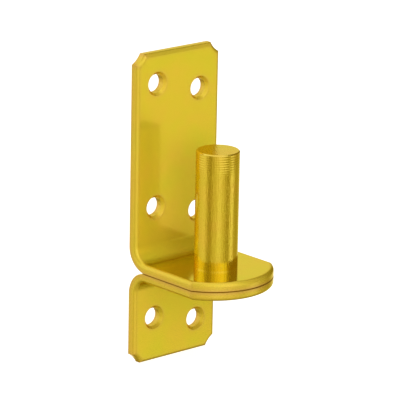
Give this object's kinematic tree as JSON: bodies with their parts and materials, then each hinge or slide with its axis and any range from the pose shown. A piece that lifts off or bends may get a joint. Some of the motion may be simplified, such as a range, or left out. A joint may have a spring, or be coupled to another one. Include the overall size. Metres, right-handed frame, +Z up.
{
  "type": "gate hinge pin on plate",
  "caption": "Upright round hinge pin riveted through the rounded tongue of two bent screw-on plates, for hanging a gate by its hinge eye.",
  "frame": {"origin": "on the pin axis at the top face of the tongue, where the hinge eye sits", "axes": "+Z up along the pin, +Y towards the post that the plates are screwed to, X across the plates"},
  "size_m": [0.04, 0.046, 0.1175],
  "materials": {
    "plated_sheet": "yellow passivated zinc plating, satin",
    "plated_bar": "yellow passivated zinc plating on drawn bar"
  },
  "bodies": {
    "root": {"upper_plate": "plated_sheet", "lower_plate": "plated_sheet", "hinge_pin": "plated_bar"}
  },
  "joints": []
}
